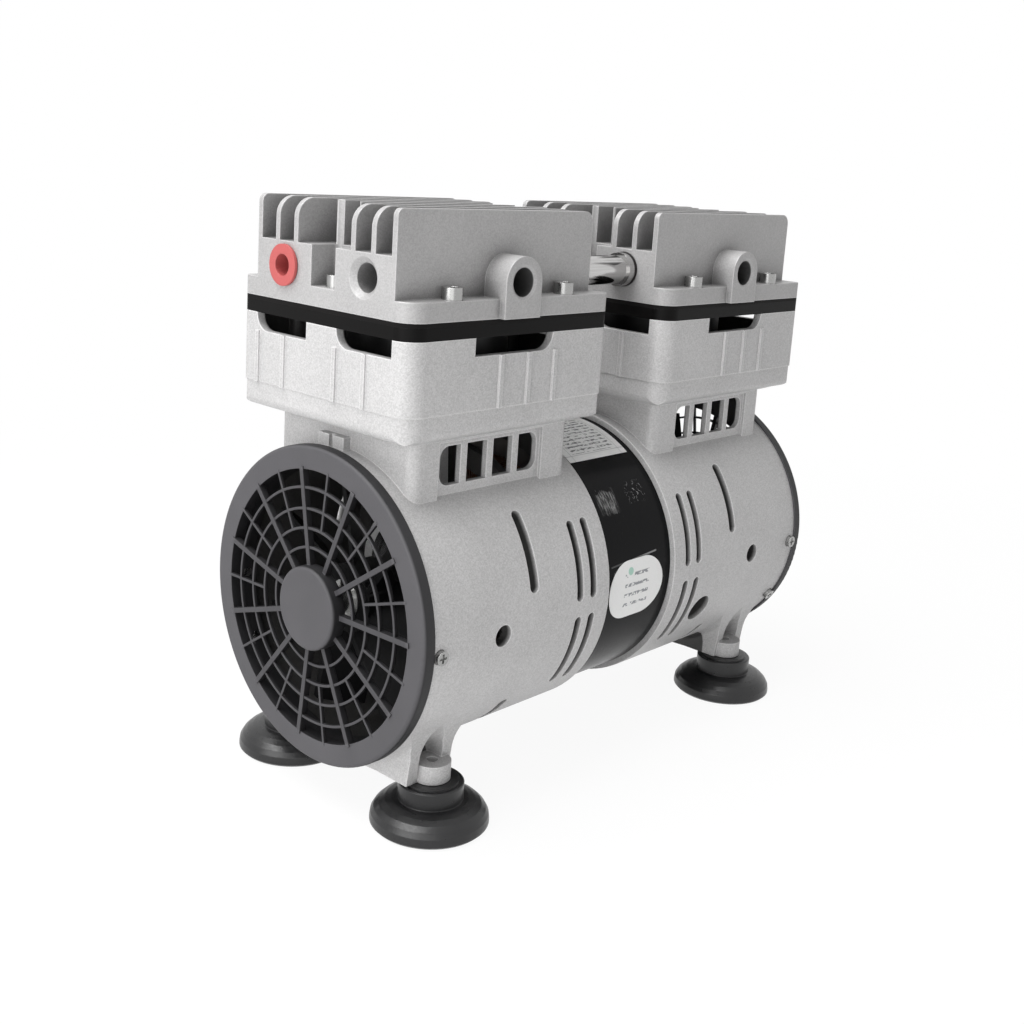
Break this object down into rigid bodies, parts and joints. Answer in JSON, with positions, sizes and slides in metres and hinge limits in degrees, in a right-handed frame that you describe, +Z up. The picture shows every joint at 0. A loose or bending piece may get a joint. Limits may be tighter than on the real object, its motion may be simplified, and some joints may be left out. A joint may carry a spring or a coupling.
{
  "type": "vacuum pump",
  "caption": "Oil-free twin-head piston vacuum pump with a central motor, finned heads, fan guards at both ends and suction-cup feet.",
  "frame": {"origin": "centre of the bounding box's bottom, on the floor under the middle of the motor", "axes": "+X along the shaft towards the rear end, +Z up; the front end with the plugged port is at -X"},
  "size_m": [0.2864, 0.144, 0.2565],
  "materials": {
    "cast_alloy": "sand-cast aluminium, blasted to a fine satin grain",
    "machined_alloy": "turned aluminium",
    "black_plate": "black-coated steel plate",
    "gasket_black": "black fibre gasket",
    "guard_plastic": "dark grey moulded plastic, fine grain",
    "fan_plastic": "black moulded plastic",
    "black_rubber": "soft black rubber",
    "seal_rubber": "black rubber ring",
    "zinc_steel": "bright zinc-plated steel",
    "bright_tube": "polished tube",
    "bearing_steel": "ground bearing steel",
    "shaft_steel": "ground steel shaft",
    "cast_steel": "dark cast counterweight",
    "lamination": "stack of varnished steel sheets",
    "film": "glossy black wrap",
    "label_silver": "silver film label",
    "label_white": "white paper-film label",
    "copper": "varnished copper winding, laced",
    "seal_ptfe": "filled PTFE cup",
    "reed_steel": "thin spring steel",
    "plug_red": "soft red plastic cap"
  },
  "bodies": {
    "casing": {"front_crankcase": "cast_alloy", "rear_crankcase": "cast_alloy", "front_fan_guard": "guard_plastic", "rear_fan_guard": "guard_plastic", "guard_screws": "zinc_steel", "stator_core": "lamination", "stator_film": "film", "name_plate": "label_silver", "round_label": "label_white", "stator_windings": "copper", "stator_bolts": "zinc_steel", "front_main_bearing": "bearing_steel", "rear_main_bearing": "bearing_steel", "front_cylinder": "machined_alloy", "rear_cylinder": "machined_alloy", "front_valve_plate": "black_plate", "rear_valve_plate": "black_plate", "front_head_gasket": "gasket_black", "rear_head_gasket": "gasket_black", "front_head": "cast_alloy", "rear_head": "cast_alloy", "head_bolts": "zinc_steel", "left_transfer_tube": "bright_tube", "right_transfer_tube": "bright_tube", "tube_seals": "seal_rubber", "reed_stops": "zinc_steel", "reed_clamps": "zinc_steel", "reed_screws": "zinc_steel", "front_left_foot": "black_rubber", "front_right_foot": "black_rubber", "rear_left_foot": "black_rubber", "rear_right_foot": "black_rubber", "foot_studs": "zinc_steel"},
    "rotor": {"motor_shaft": "shaft_steel", "rotor_core": "lamination", "front_eccentric": "cast_steel", "rear_eccentric": "cast_steel", "crank_washers": "zinc_steel", "front_fan": "fan_plastic", "rear_fan": "fan_plastic", "fan_clips": "reed_steel"},
    "front_rod": {"front_connecting_rod": "machined_alloy", "front_rod_bearing": "bearing_steel", "front_cup_seal": "seal_ptfe", "front_seal_retainer": "machined_alloy", "front_retainer_screw": "zinc_steel"},
    "rear_rod": {"rear_connecting_rod": "machined_alloy", "rear_rod_bearing": "bearing_steel", "rear_cup_seal": "seal_ptfe", "rear_seal_retainer": "machined_alloy", "rear_retainer_screw": "zinc_steel"},
    "front_intake_valve": {"front_intake_reed": "reed_steel"},
    "front_exhaust_valve": {"front_exhaust_reed": "reed_steel"},
    "rear_intake_valve": {"rear_intake_reed": "reed_steel"},
    "rear_exhaust_valve": {"rear_exhaust_reed": "reed_steel"},
    "plug": {"port_plug": "plug_red"}
  },
  "joints": [
    {"name": "shaft_spin", "type": "hinge", "parent": "casing", "child": "rotor", "pos_m": [0, 0, 0.088], "axis": [1, 0, 0], "continuous": true},
    {"name": "front_rod_swing", "type": "hinge", "parent": "rotor", "child": "front_rod", "pos_m": [-0.08075, 0, 0.093], "axis": [1, 0, 0], "continuous": true},
    {"name": "rear_rod_swing", "type": "hinge", "parent": "rotor", "child": "rear_rod", "pos_m": [0.08075, 0, 0.083], "axis": [1, 0, 0], "continuous": true},
    {"name": "front_intake_flap", "type": "hinge", "parent": "casing", "child": "front_intake_valve", "pos_m": [-0.06625, 0, 0.20685], "axis": [0, -1, 0], "range_deg": [0, 3.5], "stiffness_Nm_per_rad": 0.02},
    {"name": "front_exhaust_flap", "type": "hinge", "parent": "casing", "child": "front_exhaust_valve", "pos_m": [-0.06625, 0, 0.21245], "axis": [0, 1, 0], "range_deg": [0, 3.5], "stiffness_Nm_per_rad": 0.02},
    {"name": "rear_intake_flap", "type": "hinge", "parent": "casing", "child": "rear_intake_valve", "pos_m": [0.06625, 0, 0.20685], "axis": [0, 1, 0], "range_deg": [0, 3.5], "stiffness_Nm_per_rad": 0.02},
    {"name": "rear_exhaust_flap", "type": "hinge", "parent": "casing", "child": "rear_exhaust_valve", "pos_m": [0.06625, 0, 0.21245], "axis": [0, -1, 0], "range_deg": [0, 3.5], "stiffness_Nm_per_rad": 0.02},
    {"name": "plug_pull", "type": "slide", "parent": "casing", "child": "plug", "axis": [-1, 0, 0], "range_m": [0, 0.02]}
  ],
  "couplings": [
    {"joint": "front_rod_swing", "follows": "shaft_spin", "ratio": -1},
    {"joint": "rear_rod_swing", "follows": "shaft_spin", "ratio": -1}
  ]
}
